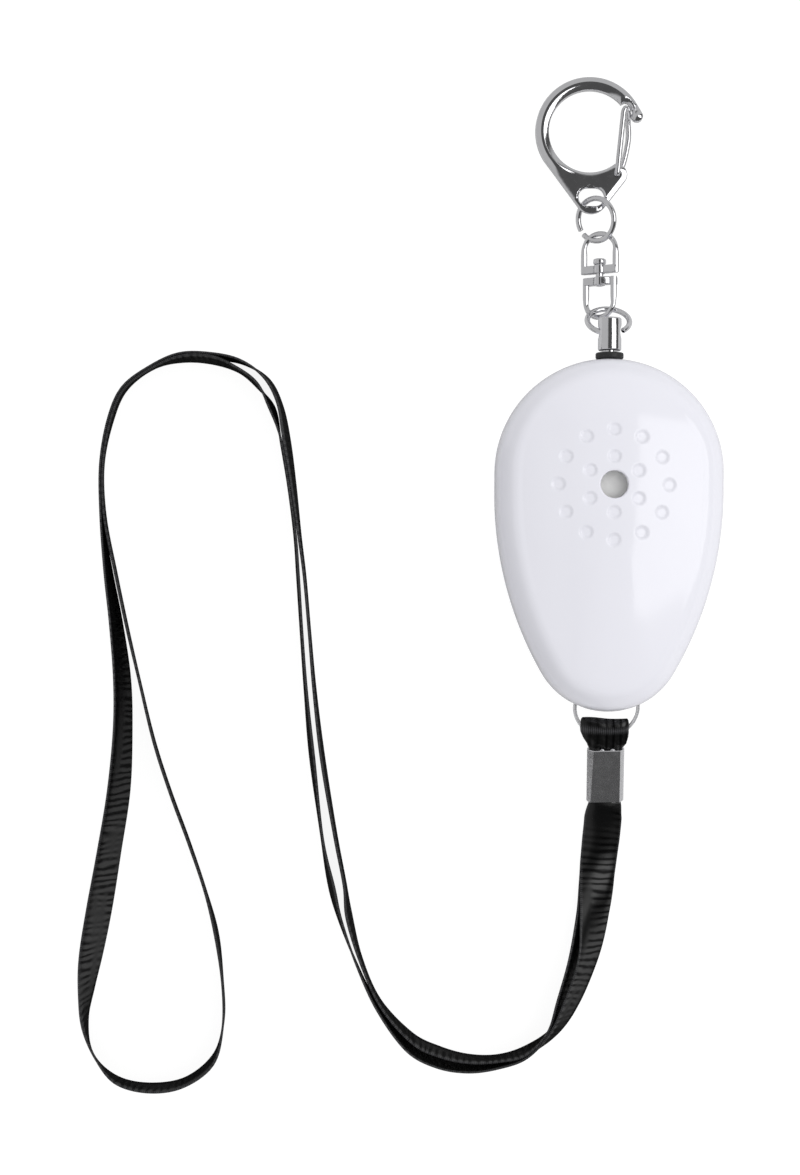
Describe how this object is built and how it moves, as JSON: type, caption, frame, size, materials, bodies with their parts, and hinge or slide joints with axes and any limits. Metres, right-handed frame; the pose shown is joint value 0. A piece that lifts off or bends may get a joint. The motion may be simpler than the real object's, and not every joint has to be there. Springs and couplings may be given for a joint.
{
  "type": "personal safety alarm",
  "caption": "Egg-shaped handheld alarm with a sound hole ringed by dimples, a pull pin on a swivel clip chain, and a ribbon wrist strap on a wire bail.",
  "frame": {"origin": "on the flat back face, straight under the centre of the sound hole", "axes": "+Z out of the front face, +Y along the body towards the pull pin and clip, +X to the right seen from the front"},
  "size_m": [0.1244, 0.199, 0.0208],
  "materials": {
    "shell": "smooth gloss",
    "grommet": "moulded rubber",
    "plated": "bright nickel plate",
    "screw_steel": "zinc plated",
    "crimp_steel": "pressed sheet",
    "ribbon": "ribbed satin weave",
    "spring_brass": "rolled sheet",
    "cell_steel": "drawn can",
    "piezo": "fired ceramic disc",
    "foam": "closed foam",
    "clamp": "moulded",
    "lead_sleeve": "sleeved wire",
    "board": "lacquered board",
    "ferrite": "sintered",
    "copper_wire": "enamelled wire",
    "black_resin": "moulded resin",
    "can_sleeve": "shrink sleeve"
  },
  "bodies": {
    "housing": {"front_shell": "shell", "back_shell": "shell", "shell_screws": "screw_steel", "pin_grommet": "grommet", "sounder_plate": "spring_brass", "sounder_ceramic": "piezo", "sounder_gasket": "foam", "sounder_clamp": "clamp", "sounder_leads": "lead_sleeve", "circuit_board": "board", "coil_core": "ferrite", "coil_winding": "copper_wire", "driver_chip": "black_resin", "transistor": "black_resin", "capacitor": "can_sleeve", "button_cells": "cell_steel", "contact_plus": "cell_steel", "contact_minus": "cell_steel", "switch_block": "black_resin", "switch_fixed": "spring_brass", "strap_long": "ribbon", "strap_short": "ribbon"},
    "pin": {"pull_pin": "plated"},
    "pin_ring": {"pin_ring": "plated"},
    "swivel_lower": {"yoke_lower": "plated", "swivel_rivet": "plated"},
    "swivel_upper": {"yoke_upper": "plated"},
    "clip_ring": {"clip_ring": "plated"},
    "clip": {"clip_hook": "plated"},
    "gate": {"clip_gate": "plated"},
    "bail": {"strap_bail": "plated", "strap_fold": "ribbon", "strap_crimp": "crimp_steel"},
    "leaf": {"switch_leaf": "spring_brass"}
  },
  "joints": [
    {"name": "pin_slide", "type": "slide", "parent": "housing", "child": "pin", "axis": [0, 1, 0], "range_m": [0, 0.025]},
    {"name": "pin_ring_swing", "type": "hinge", "parent": "pin", "child": "pin_ring", "pos_m": [0, 0.0299, 0.009], "axis": [1, 0, 0], "range_deg": [-30, 75]},
    {"name": "swivel_swing", "type": "hinge", "parent": "pin_ring", "child": "swivel_lower", "pos_m": [0, 0.03519, 0.00313], "axis": [1, 0, 0], "range_deg": [-18, 38]},
    {"name": "swivel_turn", "type": "hinge", "parent": "swivel_lower", "child": "swivel_upper", "pos_m": [-0.00145, 0.0418, 0.0029], "axis": [0, 0.9988, -0.0489], "continuous": true},
    {"name": "clip_ring_swing", "type": "hinge", "parent": "swivel_upper", "child": "clip_ring", "pos_m": [-0.00145, 0.05004, 0.0025], "axis": [0.91, 0, -0.4147], "range_deg": [-35, 35]},
    {"name": "clip_swing", "type": "hinge", "parent": "clip_ring", "child": "clip", "pos_m": [-0.0023, 0.05662, 0.00442], "axis": [0.7923, -0.1517, 0.591], "range_deg": [-18, 12]},
    {"name": "gate_turn", "type": "hinge", "parent": "clip", "child": "gate", "pos_m": [0.0016, 0.0614, 0.0035], "axis": [0, 0, 1], "range_deg": [0, 30], "stiffness_Nm_per_rad": 0.01, "springref_deg": -11.46},
    {"name": "bail_swing", "type": "hinge", "parent": "housing", "child": "bail", "pos_m": [0, -0.0425, 0.009], "axis": [-1, 0, 0], "range_deg": [0, 45]},
    {"name": "leaf_swing", "type": "hinge", "parent": "housing", "child": "leaf", "pos_m": [0, 0.0194, 0.01047], "axis": [1, 0, 0], "range_deg": [0, 7]}
  ],
  "couplings": [
    {"joint": "leaf_swing", "follows": "pin_slide", "rad_per_m": 4.88}
  ]
}
